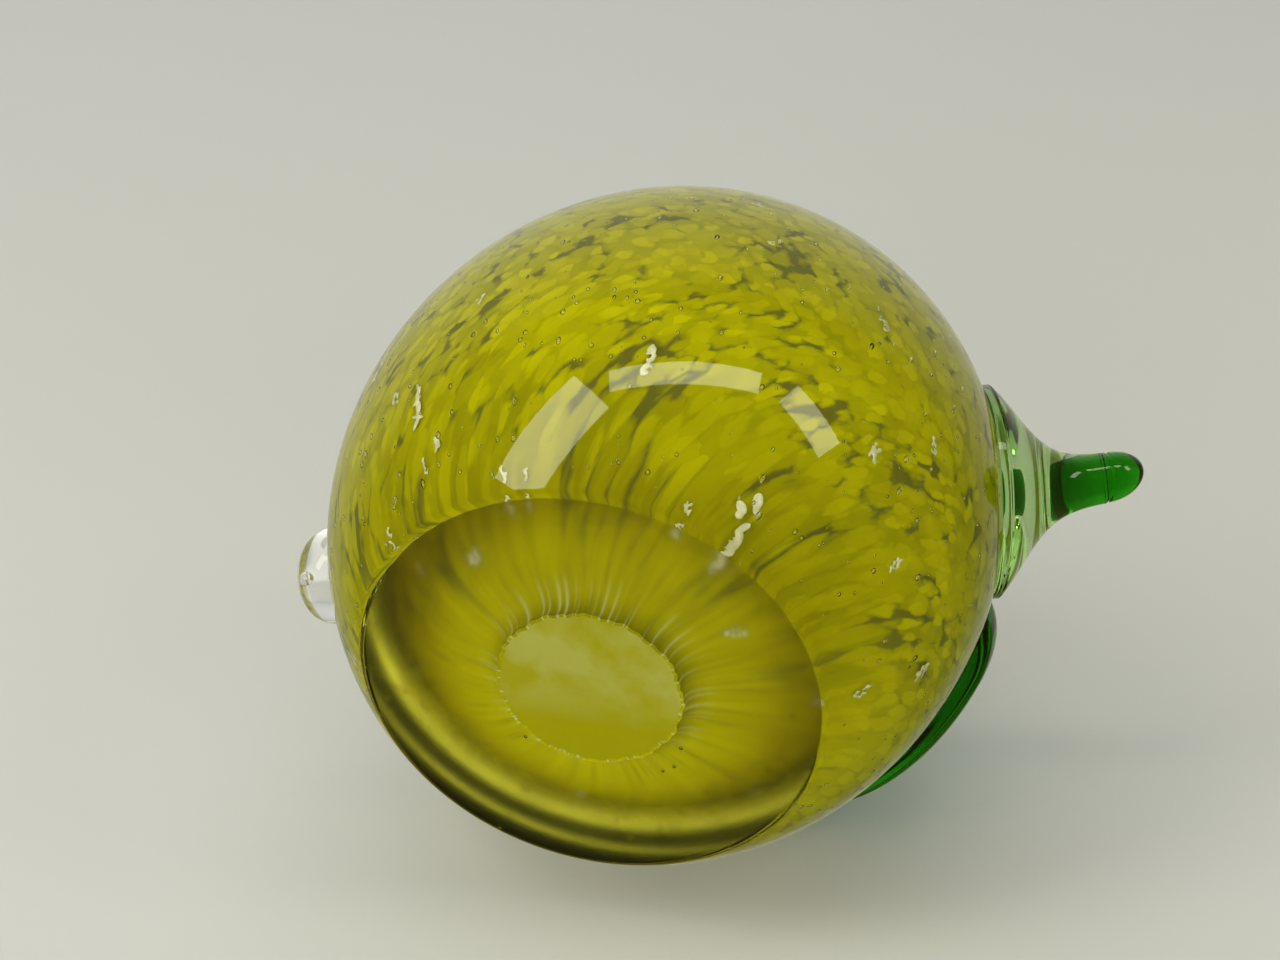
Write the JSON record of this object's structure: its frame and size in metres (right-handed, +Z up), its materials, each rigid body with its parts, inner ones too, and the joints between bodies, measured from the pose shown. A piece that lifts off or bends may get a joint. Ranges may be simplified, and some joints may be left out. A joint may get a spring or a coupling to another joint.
{
  "type": "glass lemon paperweight",
  "caption": "Solid hot-worked glass lemon lying on its side: pale core, mottled yellow layer and clear casing with a ground flat base, clear blossom tip, pulled stem with a green core, and green leaf.",
  "frame": {"origin": "under the middle of the object, on the surface that it lies on", "axes": "+Z up as it lies, +X along the length from the blossom tip towards the stem, ground base turned towards -Y"},
  "size_m": [0.0968, 0.0748, 0.0768],
  "materials": {
    "core_glass": "cloudy pale glass, ground flat where the base cuts it",
    "yellow_frit": "opaque mottled yellow chips, drawn into streaks at the neck",
    "clear_glass": "polished clear glass with seed bubbles, satin ground base",
    "tip_glass": "fire-polished clear glass",
    "stem_glass": "fire-polished clear glass with a green cast",
    "green_glass": "fire-polished transparent green glass",
    "leaf_glass": "fire-polished dark green glass"
  },
  "bodies": {
    "root": {"core": "core_glass", "yellow_frit_layer": "yellow_frit", "clear_casing": "clear_glass", "blossom_tip": "tip_glass", "stem": "stem_glass", "stem_core": "green_glass", "leaf": "leaf_glass"}
  },
  "joints": []
}
